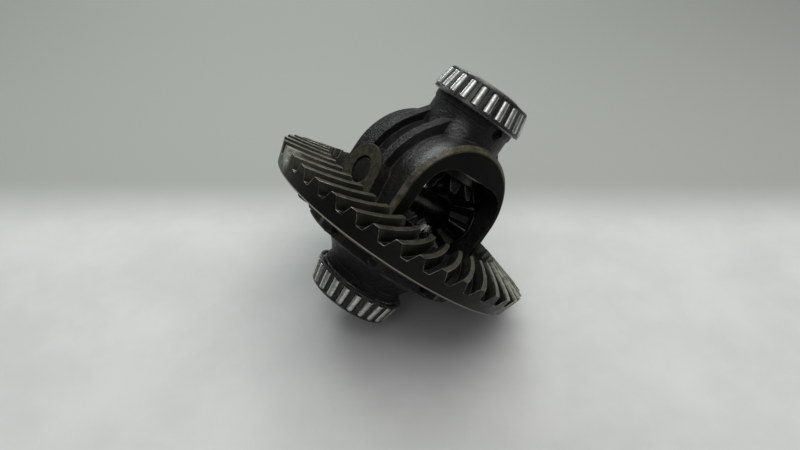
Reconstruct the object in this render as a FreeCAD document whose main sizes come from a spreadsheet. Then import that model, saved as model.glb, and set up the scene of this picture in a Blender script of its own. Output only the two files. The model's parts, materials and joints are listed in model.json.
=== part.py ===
"""Automotive differential: cast case, hypoid ring gear, two taper roller bearing cones and two-pinion gear set."""

import FreeCAD, Part

import math
import os

import Sketcher

Vector = FreeCAD.Vector
Rotation = FreeCAD.Rotation
Placement = FreeCAD.Placement

# Driving dimensions in millimetres, degrees and counts. Every piece is drawn in the differential's own frame:
# z runs along the axle, away from the flange, x along the cross pin, and the origin is where the two cross.
DIMENSIONS = {
    # pose on the bench
    "case_roll": 174.0,
    # hypoid ring gear
    "crown_radius": 100.0,
    "crown_level": 13.6,
    "toe_radius": 70.0,
    "toe_level": 4.7,
    "heel_depth": 7.9,
    "toe_depth": 6.6,
    "back_radius": 95.4,
    "back_level": 30.3,
    "back_chamfer": 1.1,
    "web_radius": 66.8,
    "web_level": 15.5,
    "ring_bore_radius": 59.2,
    # differential case
    "pilot_radius": 59.1,
    "pilot_level": 21.0,
    "flange_radius": 73.6,
    "flange_level": 36.2,
    "flange_chamfer": 0.8,
    "bell_radius": 61.3,
    "bell_level": 46.0,
    "bell_chamfer": 1.2,
    "hub_foot_radius": 50.0,
    "hub_fillet": 40.0,
    "body_radius": 58.8,
    "core_radius": 33.5,
    "core_shoulder": 28.0,
    "pad_radius": 46.0,
    "pad_centre": 10.0,
    "pad_face": 36.0,
    "pad_chamfer": 3.0,
    "rib_radius": 53.5,
    "rib_inner": 7.5,
    "rib_outer": 14.0,
    "rib_top": 59.5,
    "rib_web_radius": 47.5,
    "boss_radius": 18.2,
    "boss_face": 55.5,
    "boss_foot": 25.0,
    "neck_radius": 29.4,
    "collar_radius": 30.4,
    "collar_width": 3.5,
    "window_left": 40.0,
    "window_right": 33.5,
    "window_top": 35.0,
    "window_bottom": 24.0,
    "window_corner": 20.0,
    "chamber_radius": 46.6,
    "chamber_wall_radius": 37.0,
    "chamber_end": 35.5,
    "hub_bore_radius": 21.05,
    "hub_bore_end": 53.0,
    "axle_bore_radius": 17.5,
    "journal_radius": 22.5,
    "notch_radius": 4.2,
    "notch_depth": 2.6,
    # taper roller bearings: the upper one stands a little further out than the lower one
    "upper_seat": 71.9,
    "lower_seat": 69.9,
    "race_width": 19.3,
    "race_rib_radius": 31.0,
    "race_rib_width": 1.7,
    "race_big_radius": 28.22,
    "race_small_radius": 25.55,
    "race_lip_radius": 26.3,
    "race_lip_width": 2.2,
    "cage_start": 0.9,
    "cage_width": 17.5,
    "cage_big_radius": 34.3,
    "cage_small_radius": 30.35,
    "cage_sheet": 1.2,
    "cage_lip_radius": 27.4,
    "pocket_start": 2.55,
    "pocket_length": 14.55,
    "pocket_big_half": 3.3,
    "pocket_small_half": 3.08,
    "roller_start": 2.5,
    "roller_reach": 13.6,
    "roller_big_orbit": 31.6,
    "roller_small_orbit": 28.79,
    "roller_big_radius": 3.3,
    "roller_chamfer": 0.35,
    # bolts, pins and washers
    "bolt_circle_radius": 66.0,
    "bolt_phase": 14.0,
    "bolt_radius": 4.0,
    "bolt_hole_radius": 4.3,
    "bolt_head_flats": 12.0,
    "bolt_head_height": 5.2,
    "bolt_flange_radius": 7.2,
    "bolt_flange_height": 1.3,
    "bolt_grip": 16.5,
    "spotface_radius": 7.9,
    "cross_pin_radius": 9.5,
    "cross_pin_half": 54.6,
    "cross_bore_radius": 9.56,
    "lock_pin_radius": 2.5,
    "lock_pin_offset": 49.9,
    "lock_pin_bottom": 26.0,
    "lock_pin_top": 12.0,
    "washer_sheet": 0.9,
    "washer_radius": 33.0,
    "pinion_washer_radius": 21.0,
    # bevel gear set
    "gear_module": 4.8,
    "side_gear_teeth": 14,
    "pinion_teeth": 10,
    "face_width": 14.0,
    "side_gear_back": 34.5,
    "side_hub_radius": 20.95,
    "side_hub_end": 51.5,
    "spline_radius": 14.6,
    "spline_groove_radius": 1.15,
    "pinion_back_radius": 45.5,
    "pinion_bore_radius": 9.62,
}

RING_TEETH = 39
RING_BOLTS = 10
ROLLERS = 22
SPLINE_GROOVES = 26
PRESSURE_ANGLE = math.radians(22.5)
BACKLASH = 0.16
CAGE_CORNER = 0.4
HUB_STANDOUT = 1.2

# half the width of a ring gear tooth gap, as shares of the tooth pitch, above the teeth and at the root
GAP_TOP_HALF = 0.44
GAP_ROOT_HALF = 0.14
# how far a cutter runs past what it cuts, and how far above the flange the plates' hidden feet begin
OVERRUN = 5.0
FOOT_RISE = 1.0
# room round a bolt in its thread, round a pin or washer in its seat, and between a journal and its race
THREAD_ROOM = 0.1
SLIDE_ROOM = 0.04
RACE_ROOM = 0.02
WASHER_BORE_ROOM = 0.3

document = FreeCAD.newDocument("differential")
sheet = document.addObject("Spreadsheet::Sheet", "sizes")
for row, (alias, number) in enumerate(DIMENSIONS.items(), start=1):
    sheet.set(f"A{row}", alias)
    sheet.set(f"B{row}", str(number))
    sheet.setAlias(f"B{row}", alias)
document.recompute()


class Size:
    """A number together with the spreadsheet expression that gives it."""

    def __init__(self, value, text):
        self.value = value
        self.text = text

    def joined(self, other, sign, value):
        other_text = other.text if isinstance(other, Size) else repr(other)
        return Size(value, f"({self.text} {sign} {other_text})")

    def __add__(self, other):
        return self.joined(other, "+", self.value + number_of(other))

    def __sub__(self, other):
        return self.joined(other, "-", self.value - number_of(other))

    def __mul__(self, other):
        return self.joined(other, "*", self.value * number_of(other))

    def __truediv__(self, other):
        return self.joined(other, "/", self.value / number_of(other))

    def __neg__(self):
        return Size(-self.value, f"(0 - {self.text})")


def number_of(item):
    return item.value if isinstance(item, Size) else item


def size(alias):
    """The sheet's cell of this name."""
    return Size(float(sheet.get(alias)), f"sizes.{alias}")


ZERO = Size(0.0, "0")


def bind(item, **sizes):
    """Tie an object's properties to the sheet."""
    for name, amount in sizes.items():
        if isinstance(amount, Size):
            item.setExpression(name, amount.text)
        else:
            setattr(item, name, amount)
    return item


def origin_plane(body, role):
    return next(item for item in body.Origin.OriginFeatures if item.Role == role)


def pin_vertex(sketch, edge, end, across, up):
    """Hold one end of an edge at its place, with both coordinates tied to the sheet."""
    for kind, amount in (("DistanceX", across), ("DistanceY", up)):
        index = sketch.addConstraint(Sketcher.Constraint(kind, edge, end, number_of(amount)))
        if isinstance(amount, Size):
            sketch.setExpression(f"Constraints[{index}]", amount.text)


def closed_outline(body, name, plane, vertices):
    """A closed sketch. Each vertex is (across, up), with a third item, an arc's radius, where the edge that
    leaves it is an arc turning left, or turning right if the radius is negative."""
    sketch = body.newObject("Sketcher::SketchObject", name)
    sketch.AttachmentSupport = (origin_plane(body, plane), [""])
    sketch.MapMode = "FlatFace"
    count = len(vertices)
    for index, vertex in enumerate(vertices):
        start = Vector(number_of(vertex[0]), number_of(vertex[1]), 0)
        following = vertices[(index + 1) % count]
        end = Vector(number_of(following[0]), number_of(following[1]), 0)
        if len(vertex) == 2:
            sketch.addGeometry(Part.LineSegment(start, end))
        else:
            sketch.addGeometry(arc_between(start, end, number_of(vertex[2])))
    turns = [len(vertex) == 3 and number_of(vertex[2]) < 0 for vertex in vertices]
    for index, vertex in enumerate(vertices):
        # an arc runs anticlockwise, so one that turns right starts where the edge ends
        first, last = (2, 1) if turns[index] else (1, 2)
        following = (index + 1) % count
        next_first = 2 if turns[following] else 1
        sketch.addConstraint(Sketcher.Constraint("Coincident", index, last, following, next_first))
        pin_vertex(sketch, index, first, vertex[0], vertex[1])
        if len(vertex) == 3:
            radius = vertex[2]
            limit = sketch.addConstraint(Sketcher.Constraint("Radius", index, abs(number_of(radius))))
            if isinstance(radius, Size):
                sketch.setExpression(f"Constraints[{limit}]", f"abs({radius.text})")
    return sketch


def arc_between(start, end, radius):
    """The shorter arc from start to end that turns left, or right if the radius is negative."""
    chord = end - start
    middle = (start + end) * 0.5
    rise = math.sqrt(max(radius * radius - chord.Length * chord.Length / 4, 0.0))
    left = Vector(-chord.y, chord.x, 0).normalize()
    centre = middle + left * (rise if radius > 0 else -rise)
    first, last = (start, end) if radius > 0 else (end, start)
    begin = math.atan2(first.y - centre.y, first.x - centre.x)
    finish = math.atan2(last.y - centre.y, last.x - centre.x)
    circle = Part.Circle(centre, Vector(0, 0, 1), abs(radius))
    return Part.ArcOfCircle(circle, begin, finish if finish > begin else finish + 2 * math.pi)


def turned_body(name, vertices):
    """A body turned about z from an outline of (radius, level) vertices."""
    body = document.addObject("PartDesign::Body", name)
    sketch = closed_outline(body, f"{name}_outline", "XZ_Plane", vertices)
    turn = body.newObject("PartDesign::Revolution", f"{name}_turn")
    turn.Profile = sketch
    turn.ReferenceAxis = (sketch, ["V_Axis"])
    turn.Angle = 360.0
    body.Tip = turn
    return body


def cylinder(name, radius, length, base=Vector(), axis=Vector(0, 0, 1)):
    """A cylinder of the sheet's radius and length, standing on base along axis."""
    item = document.addObject("Part::Cylinder", name)
    bind(item, Radius=radius, Height=length)
    item.Placement = Placement(base, Rotation(Vector(0, 0, 1), axis))
    return item


def block(name, half_x, half_y, bottom, top):
    """A box centred on the axle, between two levels."""
    item = document.addObject("Part::Box", name)
    bind(item, Length=half_x * 2, Width=half_y * 2, Height=top - bottom)
    item.setExpression("Placement.Base.x", (-half_x).text)
    item.setExpression("Placement.Base.y", (-half_y).text)
    item.setExpression("Placement.Base.z", bottom.text)
    return item


def joined(name, *items):
    union = document.addObject("Part::MultiFuse", name)
    union.Shapes = list(items)
    return union


def cut(name, base, *tools):
    difference = document.addObject("Part::Cut", name)
    difference.Base = base
    difference.Tool = tools[0] if len(tools) == 1 else joined(f"{name}_tools", *tools)
    return difference


def common(name, *items):
    shared = document.addObject("Part::MultiCommon", name)
    shared.Shapes = list(items)
    return shared


def solid_feature(name, shape):
    """An object of the document for a shape that Part's own functions made."""
    item = document.addObject("Part::Feature", name)
    item.Shape = shape
    return item


def spun(shape, degrees):
    """A copy turned about the axle."""
    turned = shape.copy()
    turned.rotate(Vector(), Vector(0, 0, 1), degrees)
    return turned


# ---------------------------------------------------------------- ring gear


def tooth_gap(reach):
    """One gap of the ring gear's spiral teeth, at azimuth zero on the heel. Reach is its length past both ends."""
    crown = Vector(size("crown_radius").value, 0, -size("crown_level").value)
    toe = Vector(size("toe_radius").value, 0, -size("toe_level").value)
    face = toe - crown
    depth_way = Vector(face.z, 0, -face.x).normalize() * -1.0
    pitch = 2 * math.pi / RING_TEETH
    clear_share = 0.35
    sections = []
    for share in (-reach, 0.2, 0.4, 0.6, 0.8, 1.0 + reach):
        tip = crown + face * share
        depth = size("heel_depth").value * (1 - share) + size("toe_depth").value * share
        root = tip + depth_way * depth
        above = tip - depth_way * (clear_share * depth)
        middle = spiral_azimuth(tip.x)
        corners = []
        for point, half in ((above, GAP_TOP_HALF), (root, GAP_ROOT_HALF)):
            for side in (1, -1):
                azimuth = middle + side * half * pitch
                corners.append(Vector(point.x * math.cos(azimuth), point.x * math.sin(azimuth), point.z))
        loop = [corners[0], corners[1], corners[3], corners[2], corners[0]]
        sections.append(Part.makePolygon(loop))
    return Part.makeLoft(sections, True, False)


def spiral_azimuth(radius):
    """How far round the tooth has swept, from the crown circle in to a radius. The spiral angle falls from
    45 degrees on the crown circle to 27 degrees on the toe circle."""
    crown, toe = size("crown_radius").value, size("toe_radius").value
    steep, shallow = 1.0, 0.5
    slope = (steep - shallow) / (crown - toe)
    level = steep - slope * crown
    return slope * (crown - radius) + level * math.log(crown / radius)


def ring_gear():
    back, chamfer = -size("back_level"), size("back_chamfer")
    blank = turned_body("ring_blank", [
        (size("ring_bore_radius"), back),
        (size("back_radius") - chamfer, back),
        (size("back_radius"), back + chamfer),
        (size("crown_radius"), -size("crown_level")),
        (size("toe_radius"), -size("toe_level")),
        (size("web_radius"), -size("web_level")),
        (size("ring_bore_radius"), -size("web_level")),
    ])
    document.recompute()
    past_ends = 0.16
    gap = tooth_gap(past_ends)
    gaps = [spun(gap, index * 360 / RING_TEETH) for index in range(RING_TEETH)]
    threads = [bolt_cylinder(size("bolt_radius").value + THREAD_ROOM, index) for index in range(RING_BOLTS)]
    return solid_feature("ring_gear", blank.Shape.cut(gaps + threads))


def bolt_cylinder(radius, index):
    """The space that a ring gear bolt's shank takes, from below the flange up into the ring gear."""
    overlap = 1.0
    bottom = -size("flange_level").value - overlap
    top = -size("flange_level").value + size("bolt_grip").value + overlap
    shank = Part.makeCylinder(radius, top - bottom, Vector(size("bolt_circle_radius").value, 0, bottom))
    return spun(shank, bolt_azimuth(index))


def bolt_azimuth(index):
    return size("bolt_phase").value + index * 360 / RING_BOLTS


def ring_gear_bolts():
    seat = -size("flange_level").value
    flats = size("bolt_head_flats").value
    collar_height = size("bolt_flange_height").value
    height = size("bolt_head_height").value
    corner = flats / math.sqrt(3)
    top_share, foot_share = 1.02, 1.35
    hexagon = [Vector(corner * math.cos(math.radians(60 * i)), corner * math.sin(math.radians(60 * i)), 0)
               for i in range(7)]
    head = Part.Face(Part.makePolygon(hexagon)).extrude(Vector(0, 0, -height))
    crown = Part.makeCone(flats / 2 * top_share, corner * foot_share, height, Vector(0, 0, -height))
    head = head.common(crown)
    collar = Part.makeCone(size("bolt_flange_radius").value, flats / 2, collar_height, Vector(), Vector(0, 0, -1))
    shank = Part.makeCylinder(size("bolt_radius").value, size("bolt_grip").value)
    tip_length = 1.0
    tip = Part.makeCone(size("bolt_radius").value, size("bolt_radius").value - tip_length, tip_length,
                        Vector(0, 0, size("bolt_grip").value))
    bolt = head.fuse([collar, shank, tip]).removeSplitter()
    bolt.translate(Vector(size("bolt_circle_radius").value, 0, seat))
    bolts = [spun(bolt, bolt_azimuth(index)) for index in range(RING_BOLTS)]
    return solid_feature("ring_gear_bolts", Part.makeCompound(bolts))


# ---------------------------------------------------------------- differential case


def case_core():
    """The turned part of the case: both bearing journals, both necks, bell, flange and pilot."""
    neck, collar = size("neck_radius"), size("collar_radius")
    journal, edge = size("journal_radius"), 1.5
    pilot_step, pilot_slope, shoulder_slope = 5, 3, 9
    upper, lower = size("upper_seat"), -size("lower_seat")
    upper_end = upper + size("race_width") + HUB_STANDOUT
    lower_end = lower - size("race_width") - HUB_STANDOUT
    foot, flange_chamfer = -size("flange_level"), size("flange_chamfer")
    bell, bell_foot, bell_chamfer = size("bell_radius"), -size("bell_level"), size("bell_chamfer")
    shoulder = size("pad_centre") + size("core_shoulder")
    return turned_body("case_core", [
        (ZERO, lower_end),
        (journal - edge, lower_end),
        (journal, lower_end + edge),
        (journal, lower),
        (collar, lower),
        (collar, lower + size("collar_width")),
        (neck, lower + size("collar_width") + edge, -size("hub_fillet")),
        (size("hub_foot_radius"), bell_foot),
        (bell - bell_chamfer, bell_foot),
        (bell, bell_foot + bell_chamfer),
        (bell, foot),
        (size("flange_radius") - flange_chamfer, foot),
        (size("flange_radius"), foot + flange_chamfer),
        (size("flange_radius"), -size("back_level")),
        (size("pilot_radius"), -size("back_level")),
        (size("pilot_radius"), -size("pilot_level")),
        (size("pilot_radius") - pilot_step, -size("pilot_level") + pilot_slope),
        (size("core_radius"), ZERO),
        (size("core_radius"), shoulder),
        (neck, shoulder + shoulder_slope),
        (neck, upper - size("collar_width") - edge),
        (collar, upper - size("collar_width")),
        (collar, upper),
        (journal, upper),
        (journal, upper_end - edge),
        (journal - edge, upper_end),
        (ZERO, upper_end),
    ])


def padded_body(name, plane, half_thickness, vertices):
    """A body of even thickness, half of it on each side of a plane through the origin."""
    body = document.addObject("PartDesign::Body", name)
    pad = body.newObject("PartDesign::Pad", f"{name}_pad")
    pad.Profile = closed_outline(body, f"{name}_outline", plane, vertices)
    pad.setExpression("Length", (half_thickness * 2).text)
    pad.Midplane = True
    body.Tip = pad
    return body


def arched_plate(name, radius, half_thickness):
    """A plate standing on the flange, across the cross pin, with a half-round top."""
    floor, centre = -size("back_level") + FOOT_RISE, size("pad_centre")
    return padded_body(name, "XZ_Plane", half_thickness, [
        (radius, floor),
        (radius, centre, radius),
        (ZERO, centre + radius, radius),
        (-radius, centre),
        (-radius, floor),
    ])


def window_pads():
    """The thick plate whose two flat faces carry the windows, with its outer edges bevelled."""
    body = arched_plate("window_pads", size("pad_radius"), size("pad_face"))
    document.recompute()
    plate, face = body.Tip, size("pad_face").value
    floor = FOOT_RISE - size("back_level").value
    touching = 1e-6
    names = []
    for index, edge in enumerate(plate.Shape.Edges, start=1):
        on_face = all(abs(abs(vertex.Y) - face) < touching for vertex in edge.Vertexes)
        at_foot = all(abs(vertex.Z - floor) < touching for vertex in edge.Vertexes)
        if on_face and not at_foot:
            names.append(f"Edge{index}")
    bevel = body.newObject("PartDesign::Chamfer", "window_pad_bevel")
    bevel.Base = (plate, names)
    bind(bevel, Size=size("pad_chamfer"))
    body.Tip = bevel
    return body


def rib_plate():
    """The outline that both ribs follow: up from the flange, round over the shoulder, then straight to the neck."""
    radius, centre = size("rib_radius"), size("pad_centre")
    floor = -size("back_level") + FOOT_RISE
    turn = math.sqrt(0.5)
    knee, knee_level = radius * turn, centre + radius * turn
    landing = knee - (size("rib_top") - knee_level)
    return padded_body("rib_plate", "XZ_Plane", size("rib_outer"), [
        (radius, floor),
        (radius, centre, radius),
        (knee, knee_level),
        (landing, size("rib_top")),
        (-landing, size("rib_top")),
        (-knee, knee_level, radius),
        (-radius, centre),
        (-radius, floor),
    ])


def window_void():
    """The hollow of both windows, through the case, with round upper corners."""
    body = document.addObject("PartDesign::Body", "window_void")
    corner, top = size("window_corner"), size("window_top")
    left, right = -size("window_left"), size("window_right")
    sketch = closed_outline(body, "window_outline", "XZ_Plane", [
        (left, -size("window_bottom")),
        (right, -size("window_bottom")),
        (right, top - corner, corner),
        (right - corner, top),
        (left + corner, top, corner),
        (left, top - corner),
    ])
    pad = body.newObject("PartDesign::Pad", "window_pad")
    pad.Profile = sketch
    pad.setExpression("Length", size("body_radius").text)
    pad.Reversed = True
    body.Tip = pad
    return body


def chamber_void():
    """The hollow that holds the gears, the side gears' hubs and the axle shafts."""
    ball, wall, end = size("chamber_radius"), size("chamber_wall_radius"), size("chamber_end")
    shoulder_height = math.sqrt(ball.value ** 2 - wall.value ** 2)
    shoulder = Size(shoulder_height, f"sqrt({ball.text}^2 - {wall.text}^2)")
    hub, hub_end = size("hub_bore_radius"), size("hub_bore_end")
    bore = size("axle_bore_radius")
    far = size("upper_seat") + size("race_width") + OVERRUN
    return turned_body("chamber_void", [
        (ZERO, -far),
        (bore, -far),
        (bore, -hub_end),
        (hub, -hub_end),
        (hub, -end),
        (wall, -end),
        (wall, -shoulder, ball),
        (wall, shoulder),
        (wall, end),
        (hub, end),
        (hub, hub_end),
        (bore, hub_end),
        (bore, far),
        (ZERO, far),
    ])


def differential_case():
    envelope = cylinder("body_envelope", size("body_radius"), size("rib_top") + size("back_level") + OVERRUN)
    envelope.setExpression("Placement.Base.z", (-size("back_level")).text)
    webs = arched_plate("rib_webs", size("rib_web_radius"), size("rib_outer"))
    slot = block("rib_gap", size("rib_radius") + OVERRUN, size("rib_inner"),
                 -size("back_level"), size("rib_top") + OVERRUN)
    ribs = cut("ribs", rib_plate(), slot)
    boss = cylinder("cross_pin_boss", size("boss_radius"), size("boss_face") * 2, axis=Vector(1, 0, 0))
    boss.setExpression("Placement.Base.x", (-size("boss_face")).text)
    floor = -size("back_level") + FOOT_RISE
    skirt = padded_body("boss_skirt", "YZ_Plane", size("boss_face"), [
        (-size("boss_foot"), floor),
        (size("boss_foot"), floor),
        (size("boss_radius"), ZERO),
        (-size("boss_radius"), ZERO),
    ])
    outside = common("case_outside", envelope, joined("case_body", window_pads(), webs, ribs, boss, skirt))
    solid = joined("case_solid", case_core(), outside)
    pin_bore = cylinder("cross_pin_bore", size("cross_bore_radius"), (size("boss_face") + OVERRUN) * 2,
                        Vector(-size("boss_face").value - OVERRUN, 0, 0), Vector(1, 0, 0))
    blind_end = 0.4
    lock_bore = cylinder("lock_pin_bore", size("lock_pin_radius") + SLIDE_ROOM,
                         size("bell_level") + OVERRUN + size("lock_pin_top") + blind_end)
    lock_bore.setExpression("Placement.Base.x", size("lock_pin_offset").text)
    lock_bore.setExpression("Placement.Base.z", (-size("bell_level") - OVERRUN).text)
    first_window = window_void()
    document.recompute()
    second_window = solid_feature("second_window", spun(first_window.Shape, 180))
    holes = [solid_feature(f"bolt_hole_{index}", bolt_cylinder(size("bolt_hole_radius").value, index))
             for index in range(RING_BOLTS)]
    faces = [solid_feature(f"spotface_{index}", spotface(index)) for index in range(RING_BOLTS)]
    notches = [solid_feature(f"puller_notch_{index}", puller_notch(way)) for index, way in enumerate((1, -1))]
    return cut("differential_case", solid, chamber_void(), first_window, second_window, pin_bore, lock_bore,
               *holes, *faces, *notches)


def spotface(index):
    """The flat under a bolt's head, which scallops the bell."""
    depth = 12.0
    seat = Part.makeCylinder(size("spotface_radius").value, depth,
                             Vector(size("bolt_circle_radius").value, 0, -size("flange_level").value),
                             Vector(0, 0, -1))
    return spun(seat, bolt_azimuth(index))


def puller_notch(way):
    """A scallop in the neck, behind the bearing, for a bearing puller's jaw."""
    radius, depth = size("notch_radius").value, size("notch_depth").value
    level = size("upper_seat").value - radius
    bottom = size("neck_radius").value - depth
    return Part.makeCylinder(radius, depth + OVERRUN, Vector(0, way * bottom, level), Vector(0, way, 0))


# ---------------------------------------------------------------- taper roller bearings


def inner_race(name):
    """The cone: bore, back face rib, raceway and front face lip. Its back face is at level zero."""
    bore, rib, width = size("journal_radius") + RACE_ROOM, size("race_rib_radius"), size("race_width")
    rib_width, lip_width = size("race_rib_width"), size("race_lip_width")
    chamfer, lip_slope = 0.8, 0.6
    return turned_body(name, [
        (bore + chamfer, ZERO),
        (rib - chamfer, ZERO),
        (rib, ZERO + chamfer),
        (rib, rib_width),
        (size("race_big_radius"), rib_width),
        (size("race_small_radius"), width - lip_width - lip_slope),
        (size("race_lip_radius"), width - lip_width),
        (size("race_lip_radius"), width - chamfer),
        (size("race_lip_radius") - chamfer, width),
        (bore + chamfer, width),
        (bore, width - chamfer),
        (bore, ZERO + chamfer),
    ])


def roller_cage(name):
    """The pressed steel cage: a tapered shell with a pocket for each roller and a lip at its narrow end."""
    start, width = size("cage_start"), size("cage_width")
    big, small, sheet_metal = size("cage_big_radius"), size("cage_small_radius"), size("cage_sheet")
    lip, end = size("cage_lip_radius"), start + width
    lip_top = end - sheet_metal + 0.1
    body = turned_body(name, [
        (big - sheet_metal, start),
        (big, start),
        (small + CAGE_CORNER, end - CAGE_CORNER * 1.5),
        (small - CAGE_CORNER / 2, end),
        (lip, end),
        (lip, lip_top),
        (small - sheet_metal - CAGE_CORNER, lip_top),
        (small - sheet_metal + 0.3, lip_top - 0.7),
    ])
    pocket_start, pocket_end = size("pocket_start"), size("pocket_start") + size("pocket_length")
    wide, narrow = size("pocket_big_half"), size("pocket_small_half")
    sketch = closed_outline(body, f"{name}_pocket_outline", "XZ_Plane", [
        (-wide, pocket_start),
        (wide, pocket_start),
        (narrow, pocket_end),
        (-narrow, pocket_end),
    ])
    document.recompute()
    pocket = body.newObject("PartDesign::Pocket", f"{name}_pocket")
    pocket.Profile = sketch
    pocket.Type = "ThroughAll"
    document.recompute()
    pattern = body.newObject("PartDesign::PolarPattern", f"{name}_pockets")
    pattern.Originals = [pocket]
    pattern.Axis = (sketch, ["V_Axis"])
    pattern.Angle = 360.0
    pattern.Occurrences = ROLLERS
    body.Tip = pattern
    return body


def roller_lean():
    """The angle between a roller's axis and the axle."""
    drop = size("roller_big_orbit").value - size("roller_small_orbit").value
    return math.atan2(drop, size("roller_reach").value)


def taper_roller(name):
    """One roller, drawn along its own axis from its big end."""
    length = size("roller_reach") / math.cos(roller_lean())
    big = size("roller_big_radius")
    small = big * size("roller_small_orbit") / size("roller_big_orbit")
    chamfer = size("roller_chamfer")
    return turned_body(name, [
        (ZERO, ZERO),
        (big - chamfer, ZERO),
        (big, chamfer),
        (small, length - chamfer),
        (small - chamfer, length),
        (ZERO, length),
    ])


def roller_place(index):
    """Where a roller stands in its bearing: leaning in towards the axle at its small end."""
    lean = Placement(Vector(size("roller_big_orbit").value, 0, size("roller_start").value),
                     Rotation(Vector(0, 1, 0), -math.degrees(roller_lean())))
    first = 90
    azimuth = first + index * 360 / ROLLERS
    return Placement(Vector(), Rotation(Vector(0, 0, 1), azimuth)) * lean


# ---------------------------------------------------------------- pins and washers


def cross_pin():
    radius, half = size("cross_pin_radius"), size("cross_pin_half")
    chamfer = 1.2
    rod = turned_body("cross_pin_rod", [
        (ZERO, -half),
        (radius - chamfer, -half),
        (radius, -half + chamfer),
        (radius, half - chamfer),
        (radius - chamfer, half),
        (ZERO, half),
    ])
    rod.Placement = Placement(Vector(), Rotation(Vector(0, 1, 0), 90))
    lock = cylinder("cross_pin_lock_bore", size("lock_pin_radius") + SLIDE_ROOM, (radius + OVERRUN) * 2)
    lock.setExpression("Placement.Base.x", size("lock_pin_offset").text)
    lock.setExpression("Placement.Base.z", (-radius - OVERRUN).text)
    return cut("cross_pin", rod, lock)


def lock_pin():
    radius, bottom, top = size("lock_pin_radius"), -size("lock_pin_bottom"), size("lock_pin_top")
    chamfer = 0.6
    return turned_body("lock_pin", [
        (ZERO, bottom),
        (radius - chamfer, bottom),
        (radius, bottom + chamfer),
        (radius, top - chamfer),
        (radius - chamfer, top),
        (ZERO, top),
    ])


def side_washer(name):
    """The flat thrust washer between a side gear and the case."""
    top = size("chamber_end") - SLIDE_ROOM
    bottom = top - size("washer_sheet")
    inner = size("hub_bore_radius") + WASHER_BORE_ROOM
    return turned_body(name, [
        (inner, bottom),
        (size("washer_radius"), bottom),
        (size("washer_radius"), top),
        (inner, top),
    ])


def pinion_washers():
    """The two dished thrust washers behind the pinions."""
    outer, along = size("chamber_radius").value - SLIDE_ROOM, Vector(1, 0, 0)
    inner = outer - size("washer_sheet").value
    bore, rim = size("pinion_bore_radius").value + WASHER_BORE_ROOM, size("pinion_washer_radius").value
    shell = Part.makeSphere(outer).cut(Part.makeSphere(inner))
    disc = Part.makeCylinder(rim, outer, Vector(), along)
    tube = disc.cut(Part.makeCylinder(bore, outer, Vector(), along))
    washer = shell.common(tube)
    return solid_feature("pinion_thrust_washers", Part.makeCompound([washer, spun(washer, 180)]))


# ---------------------------------------------------------------- bevel gears


def involute_flank(base, radius):
    """The angle an involute has turned at a radius, from where it leaves its base circle."""
    if radius <= base:
        return 0.0
    pressure = math.acos(base / radius)
    return math.tan(pressure) - pressure


def bevel_gap(teeth, mate_teeth, addendum, dedendum):
    """One gap between straight bevel teeth, at azimuth zero, pointing to the cone's apex at the origin. The
    gear's axis is z and its teeth stand towards the origin. The flanks are involutes on the back cone."""
    module = size("gear_module").value
    cone = math.atan2(teeth, mate_teeth)
    pitch_radius = module * teeth / 2
    distance = pitch_radius / math.sin(cone)
    virtual = pitch_radius / math.cos(cone)
    base = virtual * math.cos(PRESSURE_ANGLE)
    half_gap = math.pi / (2 * teeth / math.cos(cone)) + BACKLASH / virtual / 2
    at_pitch = involute_flank(base, virtual)
    steps, above_tips, narrowest = 5, 1.25, 0.012
    outer, root = virtual + addendum * above_tips, virtual - dedendum
    flank = []
    for step in range(steps + 1):
        reach = outer + (root - outer) * step / steps
        turn = half_gap + involute_flank(base, reach) - at_pitch
        flank.append((reach, max(turn, narrowest)))
    apex = distance / math.cos(cone)
    past_heel, past_toe = 1.12, 0.97
    inner_share = (distance - size("face_width").value) / distance
    rings = []
    for scale in (past_heel, inner_share * past_toe):
        loop = []
        for reach, turn in flank + [(reach, -turn) for reach, turn in reversed(flank)]:
            radius, azimuth = reach * math.cos(cone), turn / math.cos(cone)
            level = apex - reach * math.sin(cone)
            loop.append(Vector(radius * math.cos(azimuth), radius * math.sin(azimuth), level) * scale)
        rings.append(Part.makePolygon(loop + loop[:1]))
    return Part.makeLoft(rings, True, True)


def cone_point(teeth, mate_teeth, height, share):
    """A point of a bevel gear's section, as (radius, level): height above the pitch cone, at a share of its
    outer cone distance."""
    cone = math.atan2(teeth, mate_teeth)
    distance = size("gear_module").value * teeth / 2 / math.sin(cone)
    radius = distance * math.sin(cone) + height * math.cos(cone)
    level = distance * math.cos(cone) - height * math.sin(cone)
    return radius * share, level * share


def addenda():
    """The side gear's and the pinion's tooth heights above their pitch cones: the pinion's are longer."""
    module, side_share, pinion_share = size("gear_module").value, 0.82, 1.12
    return side_share * module, pinion_share * module


def bevel_gear(teeth, mate_teeth, addendum, mate_addendum, profile_back):
    """A bevel gear's solid: the blank, turned from its tooth cones and the given back outline, less its gaps."""
    share = 1 - size("face_width").value * math.sin(math.atan2(teeth, mate_teeth)) / (
        size("gear_module").value * teeth / 2)
    clearance_share = 0.2
    dedendum = mate_addendum + clearance_share * size("gear_module").value
    outer_tip = cone_point(teeth, mate_teeth, addendum, 1)
    inner_tip = cone_point(teeth, mate_teeth, addendum, share)
    inner_root = cone_point(teeth, mate_teeth, -dedendum, share)
    outer_root = cone_point(teeth, mate_teeth, -dedendum, 1)
    section = [inner_root, inner_tip, outer_tip, outer_root] + profile_back(outer_root, inner_root)
    wire = Part.makePolygon([Vector(radius, 0, level) for radius, level in section + section[:1]])
    blank = Part.Face(wire).revolve(Vector(), Vector(0, 0, 1), 360)
    gap = bevel_gap(teeth, mate_teeth, addendum, dedendum)
    return blank.cut([spun(gap, (index + 0.5) * 360 / teeth) for index in range(teeth)])


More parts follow.
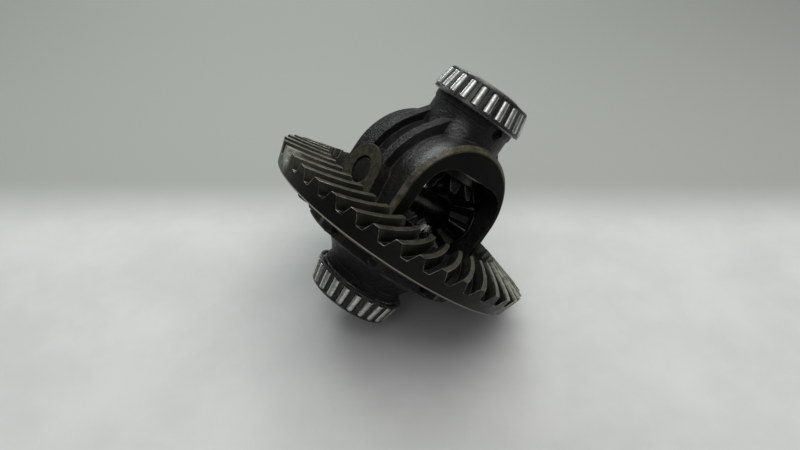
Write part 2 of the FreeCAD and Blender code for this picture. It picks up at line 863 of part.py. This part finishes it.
def side_gear_solid():
    """A side gear, above the pinions, with a tooth at azimuth zero. Its hub runs up into the case."""
    back, hub, end = size("side_gear_back").value, size("side_hub_radius").value, size("side_hub_end").value
    bore = size("spline_radius").value
    addendum, mate_addendum = addenda()

    def outline(outer_root, inner_root):
        lip, undercut = 0.7, 0.8
        return [
            (outer_root[0] - undercut, back),
            (hub, back),
            (hub, end - lip),
            (hub - lip, end),
            (bore, end),
            (bore, inner_root[1]),
        ]

    teeth, mate = int(size("side_gear_teeth").value), int(size("pinion_teeth").value)
    gear = bevel_gear(teeth, mate, addendum, mate_addendum, outline)
    groove = Part.makeCylinder(size("spline_groove_radius").value, end + OVERRUN, Vector(bore, 0, 0))
    return gear.cut([spun(groove, index * 360 / SPLINE_GROOVES) for index in range(SPLINE_GROOVES)])


def pinion_solid():
    """A pinion, along z, with a gap at azimuth zero and a back that follows the case's round chamber."""
    addendum, mate_addendum = addenda()
    ball = size("pinion_back_radius").value
    bore = size("pinion_bore_radius").value

    def outline(outer_root, inner_root):
        top_share, flare = 1.3, 1.5
        top = outer_root[1] * top_share
        return [(outer_root[0] + flare, top), (bore, top), (bore, inner_root[1])]

    teeth, mate = int(size("pinion_teeth").value), int(size("side_gear_teeth").value)
    gear = bevel_gear(teeth, mate, mate_addendum, addendum, outline)
    gear.rotate(Vector(), Vector(0, 0, 1), 180 / teeth)
    return gear.common(Part.makeSphere(ball))


# ---------------------------------------------------------------- assembly


def rest_tilt():
    """How far the axle leans from upright when the differential lies on its lower bearing and its ring gear."""
    cage_end = size("lower_seat").value + size("cage_start").value + size("cage_width").value
    cage_rim = size("cage_small_radius").value - CAGE_CORNER / 2
    run = size("back_radius").value - size("back_chamfer").value - cage_rim
    rise = cage_end - size("back_level").value
    return 90 - math.degrees(math.atan2(run, rise))


def rest_placement():
    """From the differential's own frame to the bench, with z up and the axle leaning towards +x."""
    lean = Rotation(Vector(0, 1, 0), rest_tilt())
    roll = Rotation(Vector(0, 0, 1), size("case_roll").value)
    return Placement(Vector(), lean * roll)


def build():
    """Every sub-part, as its label, its object and its place in the differential's own frame."""
    here = Placement()
    over = Placement(Vector(), Rotation(Vector(1, 0, 0), 180))
    front = Placement(Vector(), Rotation(Vector(0, 1, 0), 90))
    rear = Placement(Vector(), Rotation(Vector(0, 1, 0), -90))
    side_gear, pinion = side_gear_solid(), pinion_solid()
    upper = Placement(Vector(0, 0, size("upper_seat").value), Rotation())
    lower = Placement(Vector(0, 0, -size("lower_seat").value), Rotation(Vector(1, 0, 0), 180))
    parts = [
        ("differential_case", differential_case(), here),
        ("ring_gear", ring_gear(), here),
        ("ring_gear_bolts", ring_gear_bolts(), here),
        ("cross_pin", cross_pin(), here),
        ("cross_pin_lock_pin", lock_pin(), Placement(Vector(size("lock_pin_offset").value, 0, 0), Rotation())),
        ("upper_side_gear", solid_feature("upper_side_gear", side_gear), here),
        ("lower_side_gear", solid_feature("lower_side_gear", side_gear), over),
        ("front_pinion", solid_feature("front_pinion", pinion), front),
        ("rear_pinion", solid_feature("rear_pinion", pinion), rear),
        ("upper_thrust_washer", side_washer("upper_thrust_washer"), here),
        ("lower_thrust_washer", side_washer("lower_thrust_washer"), over),
        ("pinion_thrust_washers", pinion_washers(), here),
    ]
    for side, seat in (("upper", upper), ("lower", lower)):
        parts.append((f"{side}_bearing_inner_race", inner_race(f"{side}_race"), seat))
        parts.append((f"{side}_bearing_cage", roller_cage(f"{side}_cage"), seat))
        for index in range(ROLLERS):
            roller = taper_roller(f"{side}_roller_{index + 1:02d}")
            parts.append((f"{side}_bearing_roller_{index + 1:02d}", roller, seat * roller_place(index)))
    return parts


def export(parts):
    rest = rest_placement()
    for label, item, place in parts:
        item.Label = label
        item.Placement = rest * place
    document.recompute()
    for item in document.Objects:
        if {"Invalid", "Error"} & set(item.State):
            raise RuntimeError(f"{item.Name} failed: {item.State}")
    os.makedirs("parts", exist_ok=True)
    for label, item, place in parts:
        shape = item.Shape
        if shape.isNull() or not shape.isValid():
            raise RuntimeError(f"{label} has no valid shape")
        shape.exportStep(f"parts/{label}.step")


export(build())
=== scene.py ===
import json
import math

import bpy
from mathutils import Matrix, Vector


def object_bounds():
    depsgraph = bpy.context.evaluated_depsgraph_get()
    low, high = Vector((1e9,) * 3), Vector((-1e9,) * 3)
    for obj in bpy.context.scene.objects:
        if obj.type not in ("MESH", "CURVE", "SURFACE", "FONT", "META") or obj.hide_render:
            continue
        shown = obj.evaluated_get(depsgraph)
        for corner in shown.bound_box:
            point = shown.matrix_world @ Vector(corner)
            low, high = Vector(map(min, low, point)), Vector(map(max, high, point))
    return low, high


MM = 0.001
# Blender's colour mix node keeps its two colours at these inputs.
MIX_FIRST, MIX_SECOND = 6, 7

# Where the part's own surfaces lie, in millimetres. Levels run along the axle and radii run out from it,
# both from the point where the axle and the cross pin cross.
UPPER_SEAT = 71.9
LOWER_SEAT = 69.9
FLANGE_TOP = -30.0
PAD_RADIUS = 46.0
PAD_CENTRE = 10.0
WINDOW_FACE = 36.0
LIP_WIDTH = 3.0
RIB_SIDE = 13.0
BOSS_FACE = 55.5
TOE_RADIUS = 70.0
TOE_LEVEL = -4.7
HEEL_RADIUS = 100.0
HEEL_LEVEL = -13.6
BACK_RADIUS = 95.4
BACK_LEVEL = -29.2

# Places with a look of their own: how far along the cross pin, across it and along the axle, and the reach,
# all in millimetres.
RUST = ((46.0, 17.0, 9.0), 15.0)
ARCH_SHINE = ((38.0, 20.0, 36.0), 24.0)
NECK_SHINE = ((26.0, 22.0, 56.0), 12.0)
# painted highlight on a few teeth
TEETH_PAINTED_HIGHLIGHT = ((-44.0, 82.0, -12.5), 36.0)
# painted highlight on a patch of the heel
HEEL_PAINTED_HIGHLIGHT = ((95.0, -19.0, -19.0), 12.0)
# painted light on one end of the ring gear's outer cone
CONE_PAINTED_LIGHT = ((96.0, -12.0, -20.0), 52.0)

# Away from the camera the flat floor carries painted shade, standing in for a darker backdrop fold, between
# these distances in millimetres.
# The floor's half width is in metres.
AWAY = Vector((0.5575, 0.8302, 0.0))
SHADE_START, SHADE_END = 66.0, 150.0
FLOOR_HALF = 6.0

# name, place, width and height in metres, power in watts, tint
LAMPS = (
    ("overhead", (0.15, -0.08, 1.15), 1.5, 1.1, 10.5, (1.0, 1.0, 1.0)),
    ("front_left", (-0.9, -0.5, 0.8), 0.6, 0.6, 0.55, (1.0, 1.0, 1.0)),
    ("back_window", (0.35, 1.05, 0.70), 0.85, 0.26, 7.4, (0.92, 1.0, 0.98)),
)
SKY_STRENGTH = 0.45
HORIZON_LIGHT = (0.10, 0.105, 0.11)
ZENITH_LIGHT = (0.90, 0.93, 0.95)
BACKDROP_GREY = (0.40, 0.41, 0.40)

# sensor and lens in millimetres, place in metres, turn in degrees
SENSOR_WIDTH = 36.0
FOCAL_LENGTH = 30.64
CAMERA_PLACE = (-0.22788, -0.31645, 0.28584)
CAMERA_TURN = (51.482, -0.241, -33.886)

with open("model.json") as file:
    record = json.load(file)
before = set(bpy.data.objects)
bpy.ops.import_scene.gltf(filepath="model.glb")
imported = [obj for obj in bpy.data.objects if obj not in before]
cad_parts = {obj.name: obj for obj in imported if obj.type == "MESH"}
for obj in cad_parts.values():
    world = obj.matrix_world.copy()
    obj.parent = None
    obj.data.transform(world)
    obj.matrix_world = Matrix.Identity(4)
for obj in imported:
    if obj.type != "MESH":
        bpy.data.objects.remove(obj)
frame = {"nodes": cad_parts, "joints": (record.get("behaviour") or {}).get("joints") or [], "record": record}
first_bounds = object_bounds()
nodes = frame["nodes"]
joints = {joint["name"]: joint for joint in frame["joints"]}

AXLE = Vector(joints["side_gear_spin"]["axis"]).normalized()
PIN = Vector(joints["front_pinion_spin"]["axis"]).normalized()
ACROSS = AXLE.cross(PIN)


# ---------------------------------------------------------------- node graphs


class Graph:
    """A material's node tree, built from short calls. Lengths that reach it are in millimetres."""

    def __init__(self, name):
        self.material = bpy.data.materials.new(name)
        self.material.use_nodes = True
        self.tree = self.material.node_tree
        self.tree.nodes.clear()
        self.output = self.node("ShaderNodeOutputMaterial")
        where = self.node("ShaderNodeTexCoord").outputs["Object"]
        scaled = self.node("ShaderNodeVectorMath", operation="SCALE")
        self.link(where, scaled.inputs[0])
        scaled.inputs["Scale"].default_value = 1 / MM
        self.place = scaled.outputs[0]

    def node(self, kind, **settings):
        made = self.tree.nodes.new(kind)
        for name, value in settings.items():
            setattr(made, name, value)
        return made

    def link(self, source, target):
        """Joins a node's output to an input, or sets the input when the source is a plain value."""
        if hasattr(source, "is_linked"):
            self.tree.links.new(source, target)
        else:
            target.default_value = source

    def math(self, operation, first, second=0.0):
        made = self.node("ShaderNodeMath", operation=operation)
        self.link(first, made.inputs[0])
        self.link(second, made.inputs[1])
        return made.outputs[0]

    def along(self, direction):
        """How far the shaded point is from the origin along a direction."""
        made = self.node("ShaderNodeVectorMath", operation="DOT_PRODUCT")
        self.link(self.place, made.inputs[0])
        made.inputs[1].default_value = direction
        return made.outputs["Value"]

    def distance(self, first, second):
        """The length of the vector whose two parts are given."""
        squares = self.math("ADD", self.math("MULTIPLY", first, first), self.math("MULTIPLY", second, second))
        return self.math("SQRT", squares)

    def ramp(self, value, low, high, start=0.0, end=1.0):
        """A smooth step from start to end while the value goes from low to high."""
        made = self.node("ShaderNodeMapRange", interpolation_type="SMOOTHSTEP")
        self.link(value, made.inputs["Value"])
        for name, number in (("From Min", low), ("From Max", high), ("To Min", start), ("To Max", end)):
            made.inputs[name].default_value = number
        return made.outputs[0]

    def noise(self, scale, detail=3.0, roughness=0.55, stretch=None):
        """Noise with this many repeats to a millimetre."""
        made = self.node("ShaderNodeTexNoise")
        self.link(self.stretched(stretch) if stretch else self.place, made.inputs["Vector"])
        made.inputs["Scale"].default_value = scale
        made.inputs["Detail"].default_value = detail
        made.inputs["Roughness"].default_value = roughness
        return made.outputs["Fac"]

    def cells(self, scale):
        """Rounded cells, this many to a millimetre."""
        made = self.node("ShaderNodeTexVoronoi", feature="SMOOTH_F1")
        self.link(self.place, made.inputs["Vector"])
        made.inputs["Scale"].default_value = scale
        return made.outputs["Distance"]

    def near(self, u, v, w, place):
        """One at a place in the case's own directions, falling to nought at its reach."""
        centre, reach = place
        parts = [self.math("SUBTRACT", along, middle) for along, middle in zip((u, v, w), centre)]
        return self.ramp(self.distance(self.distance(parts[0], parts[1]), parts[2]), reach, reach * 0.3)

    def stretched(self, directions):
        """Coordinates along three directions, each scaled by that direction's length."""
        joined = self.node("ShaderNodeCombineXYZ")
        for index, direction in enumerate(directions):
            self.link(self.along(direction), joined.inputs[index])
        return joined.outputs[0]

    def mix(self, share, first, second):
        """The first colour where the share is nought, and the second where it is one."""
        made = self.node("ShaderNodeMix", data_type="RGBA")
        self.link(share, made.inputs["Factor"])
        self.link(colour(first), made.inputs[MIX_FIRST])
        self.link(colour(second), made.inputs[MIX_SECOND])
        return made.outputs[2]

    def blend(self, share, first, second):
        """The same for plain values."""
        made = self.node("ShaderNodeMix", data_type="FLOAT")
        self.link(share, made.inputs[0])
        self.link(first, made.inputs[2])
        self.link(second, made.inputs[3])
        return made.outputs[0]

    def bump(self, height, depth, normal=None):
        """A bump whose height of one stands this many millimetres deep."""
        made = self.node("ShaderNodeBump")
        self.link(height, made.inputs["Height"])
        made.inputs["Distance"].default_value = depth * MM
        if normal is not None:
            self.link(normal, made.inputs["Normal"])
        return made.outputs["Normal"]

    def rounded(self, radius):
        """The normal with sharp edges softened, and a value of one along those edges, nought elsewhere."""
        soft = self.node("ShaderNodeBevel", samples=4)
        soft.inputs["Radius"].default_value = radius * MM
        flat = self.node("ShaderNodeNewGeometry").outputs["Normal"]
        turned = self.node("ShaderNodeVectorMath", operation="DOT_PRODUCT")
        self.link(soft.outputs["Normal"], turned.inputs[0])
        self.link(flat, turned.inputs[1])
        edges = self.ramp(self.math("SUBTRACT", 1.0, turned.outputs["Value"]), 0.01, 0.12)
        return soft.outputs["Normal"], edges

    def finish(self, base, rough, normal, metallic=0.0, coat=0.0, coat_rough=0.2, specular=0.5):
        """Joins the parts of the finish to the surface and gives the material back."""
        surface = self.node("ShaderNodeBsdfPrincipled")
        self.link(colour(base), surface.inputs["Base Color"])
        self.link(rough, surface.inputs["Roughness"])
        self.link(metallic, surface.inputs["Metallic"])
        self.link(coat, surface.inputs["Coat Weight"])
        self.link(coat_rough, surface.inputs["Coat Roughness"])
        self.link(specular, surface.inputs["Specular IOR Level"])
        self.link(normal, surface.inputs["Normal"])
        self.link(normal, surface.inputs["Coat Normal"])
        self.link(surface.outputs[0], self.output.inputs["Surface"])
        return self.material


def colour(value):
    """A colour with its alpha. A node's output is given back as it is."""
    return (*value, 1.0) if isinstance(value, tuple) and len(value) == 3 else value


# ---------------------------------------------------------------- finishes


def case_finish():
    """Oily charcoal casting, with machined faces, worn lips and a little rust in the recesses."""
    g = Graph("case_casting")
    w, u, v = g.along(AXLE), g.along(PIN), g.along(ACROSS)
    side, out = g.math("ABSOLUTE", v), g.math("ABSOLUTE", u)
    grain, lumps = g.noise(0.50, 3.0, 0.72), g.cells(0.26)
    above_flange = g.ramp(w, FLANGE_TOP - 1.0, FLANGE_TOP)
    patches, fine = g.noise(0.045, 3.0), g.noise(3.2, 2.0)
    charcoal, pale_charcoal = (0.0060, 0.0070, 0.0064), (0.0125, 0.0135, 0.0120)
    cast = g.mix(g.ramp(patches, 0.35, 0.65), charcoal, pale_charcoal)
    brown_oil = (0.026, 0.019, 0.011)
    cast = g.mix(g.ramp(g.noise(0.09, 4.0, 0.6), 0.58, 0.74, 0.0, 0.55), cast, brown_oil)
    grain_tips = (0.034, 0.036, 0.038)
    cast = g.mix(g.ramp(grain, 0.60, 0.80, 0.0, 0.35), cast, grain_tips)
    # the flat window faces
    face = g.math("MULTIPLY", above_flange, g.ramp(side, WINDOW_FACE - 0.4, WINDOW_FACE - 0.1))
    oiled_face, dry_face = (0.0018, 0.0019, 0.0014), (0.0045, 0.0047, 0.0034)
    cast = g.mix(face, cast, g.mix(g.ramp(patches, 0.3, 0.7), oiled_face, dry_face))
    # the bevelled lip round the window faces
    round_arch = g.distance(u, g.math("MAXIMUM", g.math("SUBTRACT", w, PAD_CENTRE), 0.0))
    bevel = PAD_RADIUS + WINDOW_FACE - LIP_WIDTH
    lip = g.ramp(g.math("ADD", round_arch, side), bevel - 0.6, bevel)
    lip = g.math("MULTIPLY", lip, g.ramp(side, WINDOW_FACE - LIP_WIDTH - 0.6, WINDOW_FACE - LIP_WIDTH - 0.1))
    inside_arch = g.ramp(round_arch, PAD_RADIUS + 0.5, PAD_RADIUS + 0.2)
    lip = g.math("MULTIPLY", lip, g.math("MULTIPLY", above_flange, inside_arch))
    worn_lip = g.math("MULTIPLY", lip, g.ramp(g.noise(0.16, 4.0, 0.65), 0.34, 0.62, 0.25, 1.0))
    olive_lip = (0.105, 0.094, 0.055)
    cast = g.mix(worn_lip, cast, olive_lip)
    # the ends of the cross pin boss
    boss = g.ramp(out, BOSS_FACE - 0.4, BOSS_FACE - 0.1)
    dark_boss, pale_boss = (0.026, 0.026, 0.018), (0.058, 0.055, 0.038)
    cast = g.mix(boss, cast, g.mix(g.ramp(g.noise(0.3, 4.0, 0.6), 0.35, 0.68), dark_boss, pale_boss))
    # the turned journals beyond the case's necks
    upper_journal = g.ramp(w, UPPER_SEAT - 0.3, UPPER_SEAT)
    turned = g.math("ADD", upper_journal, g.ramp(w, -LOWER_SEAT, -LOWER_SEAT - 0.3))
    turned_steel = (0.20, 0.20, 0.19)
    cast = g.mix(turned, cast, turned_steel)
    # rust in the recess beside the boss, and worn edges all over
    rust = g.math("MULTIPLY", g.near(u, v, w, RUST), g.ramp(g.noise(0.35, 4.0, 0.7), 0.44, 0.60))
    rust_brown = (0.032, 0.018, 0.013)
    cast = g.mix(g.math("MULTIPLY", rust, 0.6), cast, rust_brown)
    soft, edges = g.rounded(1.3)
    worn = g.math("MULTIPLY", edges, g.ramp(g.noise(0.22, 3.0), 0.34, 0.62, 0.10, 1.0))
    rubbed_edge = (0.140, 0.135, 0.110)
    cast = g.mix(g.math("MULTIPLY", worn, 0.75), cast, rubbed_edge)
    # roughness and grain, both finer where the casting is machined
    machined = g.math("MAXIMUM", g.math("MAXIMUM", face, boss), turned)
    as_cast = g.math("SUBTRACT", 1.0, machined)
    rough = g.ramp(g.noise(0.35, 4.0, 0.65), 0.3, 0.7, 0.27, 0.50)
    rough = g.blend(machined, rough, g.ramp(fine, 0.3, 0.7, 0.30, 0.42))
    height = g.math("ADD", g.math("MULTIPLY", grain, 0.9), g.math("MULTIPLY", lumps, 0.3))
    height = g.blend(machined, height, g.math("MULTIPLY", fine, 0.05))
    normal = g.bump(height, 1.5, normal=soft)
    # oil film: thick and shiny on the arch wall and beside the neck, thin and patchy elsewhere
    shine = g.math("MAXIMUM", g.near(u, v, w, ARCH_SHINE), g.near(u, v, w, NECK_SHINE))
    shine = g.math("MULTIPLY", shine, g.ramp(v, RIB_SIDE, RIB_SIDE + 2.5))
    pool = g.math("MULTIPLY", shine, as_cast)
    film = g.math("MAXIMUM", shine, g.ramp(g.noise(0.07, 3.0), 0.40, 0.60, 0.02, 0.14))
    wet = g.math("MULTIPLY", film, as_cast)
    specular = g.blend(pool, g.blend(machined, 0.14, 0.06), 0.80)
    metal = g.blend(turned, 0.0, 0.9)
    return g.finish(cast, rough, normal, metallic=metal, coat=wet, coat_rough=0.26, specular=specular)


def ring_gear_finish():
    """Dark phosphated steel, with brighter worn lands and tooth ends, darker in the gaps, painted shade on
    the outer cone with painted light at one end, and painted highlights on a few teeth and on the heel.
    """
    g = Graph("ring_gear_steel")
    w, u, v = g.along(AXLE), g.along(PIN), g.along(ACROSS)
    radius = g.distance(u, v)
    land_slope = (TOE_LEVEL - HEEL_LEVEL) / (HEEL_RADIUS - TOE_RADIUS)
    land_drop = g.math("MULTIPLY", g.math("SUBTRACT", radius, TOE_RADIUS), land_slope)
    depth = g.math("SUBTRACT", g.math("SUBTRACT", TOE_LEVEL, land_drop), w)
    patches = g.noise(0.05, 4.0, 0.6)
    dark_steel, pale_steel = (0.022, 0.022, 0.018), (0.046, 0.045, 0.034)
    steel = g.mix(g.ramp(patches, 0.35, 0.68), dark_steel, pale_steel)
    # the outer cone, in painted shade, with painted light towards one end
    cone_slope = (HEEL_RADIUS - BACK_RADIUS) / (HEEL_LEVEL - BACK_LEVEL)
    cone_drop = g.math("MULTIPLY", g.math("SUBTRACT", HEEL_LEVEL, w), cone_slope)
    on_cone = g.ramp(g.math("SUBTRACT", radius, g.math("SUBTRACT", HEEL_RADIUS, cone_drop)), -0.5, -0.2)
    # painted shade on the outer cone, with random patches, and painted light where its end faces up
    shaded_cone, pale_shaded_cone, lit_cone = (0.007, 0.007, 0.0055), (0.014, 0.014, 0.011), (0.040, 0.040, 0.031)
    painted_cone = g.mix(g.ramp(patches, 0.35, 0.68), shaded_cone, pale_shaded_cone)
    painted_cone = g.mix(g.near(u, v, w, CONE_PAINTED_LIGHT), painted_cone, lit_cone)
    steel = g.mix(on_cone, steel, painted_cone)
    # darker deep in the gaps between the teeth
    gaps = g.math("MULTIPLY", g.ramp(depth, 3.0, 6.5), g.ramp(radius, TOE_RADIUS - 4.0, TOE_RADIUS - 1.0))
    gaps = g.math("MULTIPLY", gaps, g.ramp(radius, HEEL_RADIUS - 0.8, HEEL_RADIUS - 1.6))
    darker_gap_tone = (0.007, 0.007, 0.006)
    steel = g.mix(g.math("MULTIPLY", gaps, 0.75), steel, darker_gap_tone)
    # worn lands, then painted highlights on a few teeth and on a patch of the heel
    land = g.math("MULTIPLY", g.ramp(depth, 0.35, 0.12), g.ramp(radius, TOE_RADIUS - 0.5, TOE_RADIUS))
    land_wear = g.math("MULTIPLY", land, g.ramp(g.noise(0.13, 3.0), 0.30, 0.62, 0.25, 0.9))
    worn_land = (0.120, 0.116, 0.084)
    steel = g.mix(land_wear, steel, worn_land)
    # painted highlights, broken up by noise
    bright = g.math("MULTIPLY", g.near(u, v, w, TEETH_PAINTED_HIGHLIGHT), g.ramp(depth, 2.0, 0.6))
    bright = g.math("MAXIMUM", bright, g.near(u, v, w, HEEL_PAINTED_HIGHLIGHT))
    bright = g.math("MULTIPLY", bright, g.ramp(g.noise(0.20, 4.0, 0.65), 0.34, 0.58, 0.15, 0.85))
    painted_highlight_steel = (0.44, 0.45, 0.36)
    steel = g.mix(bright, steel, painted_highlight_steel)
    # bright edges, brightest at the heel, and a bright line round the back
    soft, edges = g.rounded(0.5)
    worn = g.math("MULTIPLY", edges, g.ramp(g.noise(0.15, 3.0), 0.36, 0.62, 0.15, 1.0))
    toe_edge, heel_edge, back_edge = (0.36, 0.34, 0.25), (0.66, 0.63, 0.52), (0.34, 0.32, 0.26)
    towards_heel = g.ramp(radius, HEEL_RADIUS - 6.0, HEEL_RADIUS - 1.5)
    steel = g.mix(worn, steel, g.mix(towards_heel, toe_edge, heel_edge))
    back = g.ramp(w, BACK_LEVEL + 0.1, BACK_LEVEL - 0.1)
    back = g.math("MULTIPLY", back, g.ramp(radius, BACK_RADIUS - 1.2, BACK_RADIUS - 1.0))
    steel = g.mix(g.math("MULTIPLY", back, 0.7), steel, back_edge)
    rough = g.ramp(g.noise(0.28, 4.0, 0.6), 0.3, 0.7, 0.28, 0.48)
    rough = g.math("SUBTRACT", rough, g.math("MULTIPLY", worn, 0.08))
    fine, coarse = g.noise(1.6, 3.0), g.noise(0.35, 3.0)
    height = g.math("ADD", g.math("MULTIPLY", fine, 0.5), g.math("MULTIPLY", coarse, 0.6))
    normal = g.bump(height, 0.22, normal=soft)
    return g.finish(steel, rough, normal, metallic=0.72, coat=0.06, coat_rough=0.2, specular=0.3)


def oiled_steel(name, dark, pale, worn_tone, roughness):
    """Machined steel under an oil film, with brighter edges. The roughness lies between the two given."""
    g = Graph(name)
    patches = g.noise(0.11, 4.0, 0.6)
    steel = g.mix(g.ramp(patches, 0.33, 0.68), dark, pale)
    stains = g.ramp(g.noise(0.3, 4.0, 0.7), 0.60, 0.78, 0.0, 0.6)
    steel = g.mix(stains, steel, tuple(part * 0.45 for part in dark))
    soft, edges = g.rounded(0.4)
    worn = g.math("MULTIPLY", edges, g.ramp(g.noise(0.25, 2.0), 0.35, 0.6, 0.3, 1.0))
    steel = g.mix(worn, steel, worn_tone)
    rough = g.ramp(g.noise(0.5, 4.0, 0.6), 0.3, 0.7, *roughness)
    normal = g.bump(g.noise(1.2, 3.0), 0.07, normal=soft)
    return g.finish(steel, rough, normal, metallic=0.85, coat=0.05, coat_rough=0.18)


def roller_finish():
    """Ground and polished rollers, with faint rings from grinding and a few oil stains."""
    g = Graph("roller_steel")
    rings = g.noise(0.8, 2.0, 0.5, stretch=(AXLE * 7.0, PIN * 0.3, ACROSS * 0.3))
    bright, dull, stained = (0.56, 0.57, 0.54), (0.36, 0.37, 0.34), (0.16, 0.14, 0.11)
    steel = g.mix(g.ramp(g.noise(0.25, 4.0), 0.35, 0.70), bright, dull)
    steel = g.mix(g.ramp(g.noise(0.6, 4.0, 0.7), 0.63, 0.80, 0.0, 0.5), steel, stained)
    rough = g.ramp(g.noise(0.5, 3.0), 0.3, 0.7, 0.20, 0.34)
    return g.finish(steel, rough, g.bump(rings, 0.005), metallic=1.0)


# slot, dark tone, pale tone, tone of worn edges, lowest and highest roughness
STEELS = (
    # gear_steel: partly dark oiled steel and partly painted shade, since these gears sit shaded inside the
    # case
    ("gear_steel", (0.013, 0.013, 0.012), (0.028, 0.027, 0.023), (0.26, 0.24, 0.20), (0.24, 0.42)),
    ("race_steel", (0.10, 0.10, 0.097), (0.20, 0.20, 0.19), (0.50, 0.50, 0.48), (0.20, 0.36)),
    ("cage_steel", (0.022, 0.022, 0.021), (0.055, 0.055, 0.051), (0.40, 0.40, 0.38), (0.28, 0.46)),
    # bolt_steel: partly a dark finish and partly painted shade, for heads that sit in shadow under the flange
    ("bolt_steel", (0.010, 0.010, 0.010), (0.022, 0.021, 0.019), (0.12, 0.12, 0.10), (0.30, 0.50)),
    ("pin_steel", (0.026, 0.026, 0.020), (0.052, 0.050, 0.040), (0.26, 0.25, 0.20), (0.24, 0.40)),
    ("washer_steel", (0.12, 0.115, 0.10), (0.21, 0.20, 0.17), (0.42, 0.40, 0.34), (0.30, 0.46)),
)
FINISHES = {name: oiled_steel(name, *tones) for name, *tones in STEELS}
FINISHES["case_casting"] = case_finish()
FINISHES["ring_gear_steel"] = ring_gear_finish()
FINISHES["roller_steel"] = roller_finish()
for row in frame["record"]["subparts"]:
    piece = nodes[row["node"]]
    piece.data.materials.clear()
    piece.data.materials.append(FINISHES[row["material_slot"]])


# ---------------------------------------------------------------- floor, light and camera


def floor_finish():
    """Pale paper with a faint mottle. Beyond a line behind the object it carries painted shade, darker
    further away, standing in for a backdrop fold.
    """
    g = Graph("floor_paper")
    far = g.along(AWAY)
    mottle, fibre = g.noise(0.012, 4.0, 0.6), g.noise(0.9, 3.0, 0.7)
    paper, pale_paper = (0.575, 0.580, 0.560), (0.640, 0.640, 0.620)
    backdrop_shade_near, backdrop_shade_far = (0.345, 0.350, 0.325), (0.285, 0.290, 0.268)
    fibre_grey = (0.45, 0.45, 0.45)
    tone = g.mix(g.ramp(mottle, 0.3, 0.7), paper, pale_paper)
    # painted shade standing in for the backdrop, beyond the line behind the object
    back = g.mix(g.ramp(far, 110.0, 620.0), backdrop_shade_near, backdrop_shade_far)
    tone = g.mix(g.ramp(far, SHADE_START, SHADE_END), tone, back)
    tone = g.mix(g.ramp(fibre, 0.35, 0.7, 0.0, 0.06), tone, fibre_grey)
    return g.finish(tone, 0.7, g.bump(fibre, 0.05), specular=0.2)


def make_floor(level):
    """One wide flat sheet at the level of the object's lowest point."""
    signs = ((-1, -1), (1, -1), (1, 1), (-1, 1))
    corners = [(across * FLOOR_HALF, away * FLOOR_HALF, level) for across, away in signs]
    mesh = bpy.data.meshes.new("floor")
    mesh.from_pydata(corners, [], [(0, 1, 2, 3)])
    floor = bpy.data.objects.new("floor", mesh)
    bpy.context.scene.collection.objects.link(floor)
    mesh.materials.append(floor_finish())


def softbox(name, place, width, height, power, tint):
    """A soft rectangular lamp that faces the middle of the object."""
    light = bpy.data.lights.new(name, "AREA")
    light.shape = "RECTANGLE"
    light.size, light.size_y = width, height
    light.energy, light.color = power, tint
    lamp = bpy.data.objects.new(name, light)
    lamp.location = place
    lamp.rotation_euler = (-Vector(place)).to_track_quat("-Z", "Y").to_euler()
    lamp.visible_camera = False
    bpy.context.scene.collection.objects.link(lamp)


def make_world():
    """Even, dim daylight, bright overhead and darker towards the horizon. The camera sees plain grey."""
    world = bpy.data.worlds.new("studio")
    bpy.context.scene.world = world
    world.use_nodes = True
    nodes_of, links = world.node_tree.nodes, world.node_tree.links
    nodes_of.clear()
    where = nodes_of.new("ShaderNodeTexCoord")
    parts = nodes_of.new("ShaderNodeSeparateXYZ")
    height = nodes_of.new("ShaderNodeMapRange")
    height.inputs["From Min"].default_value = 0.15
    height.inputs["From Max"].default_value = 0.75
    shades = nodes_of.new("ShaderNodeMix")
    shades.data_type = "RGBA"
    shades.inputs[MIX_FIRST].default_value = colour(HORIZON_LIGHT)
    shades.inputs[MIX_SECOND].default_value = colour(ZENITH_LIGHT)
    sky = nodes_of.new("ShaderNodeBackground")
    sky.inputs["Strength"].default_value = SKY_STRENGTH
    seen = nodes_of.new("ShaderNodeBackground")
    seen.inputs["Color"].default_value = colour(BACKDROP_GREY)
    rays = nodes_of.new("ShaderNodeLightPath")
    either = nodes_of.new("ShaderNodeMixShader")
    end = nodes_of.new("ShaderNodeOutputWorld")
    links.new(where.outputs["Generated"], parts.inputs[0])
    links.new(parts.outputs["Z"], height.inputs["Value"])
    links.new(height.outputs[0], shades.inputs["Factor"])
    links.new(shades.outputs[2], sky.inputs["Color"])
    links.new(rays.outputs["Is Camera Ray"], either.inputs[0])
    links.new(sky.outputs[0], either.inputs[1])
    links.new(seen.outputs[0], either.inputs[2])
    links.new(either.outputs[0], end.inputs["Surface"])


def make_camera():
    """The photograph's viewing angle."""
    lens = bpy.data.cameras.new("camera")
    lens.sensor_width = SENSOR_WIDTH
    lens.lens = FOCAL_LENGTH
    lens.clip_start, lens.clip_end = 0.01, 50.0
    camera = bpy.data.objects.new("camera", lens)
    camera.location = CAMERA_PLACE
    camera.rotation_euler = [math.radians(turn) for turn in CAMERA_TURN]
    bpy.context.scene.collection.objects.link(camera)
    bpy.context.scene.camera = camera


lowest_corner = first_bounds[0]
make_floor(lowest_corner.z)
make_world()
for lamp in LAMPS:
    softbox(*lamp)
make_camera()
bpy.context.scene.view_settings.view_transform = "Standard"
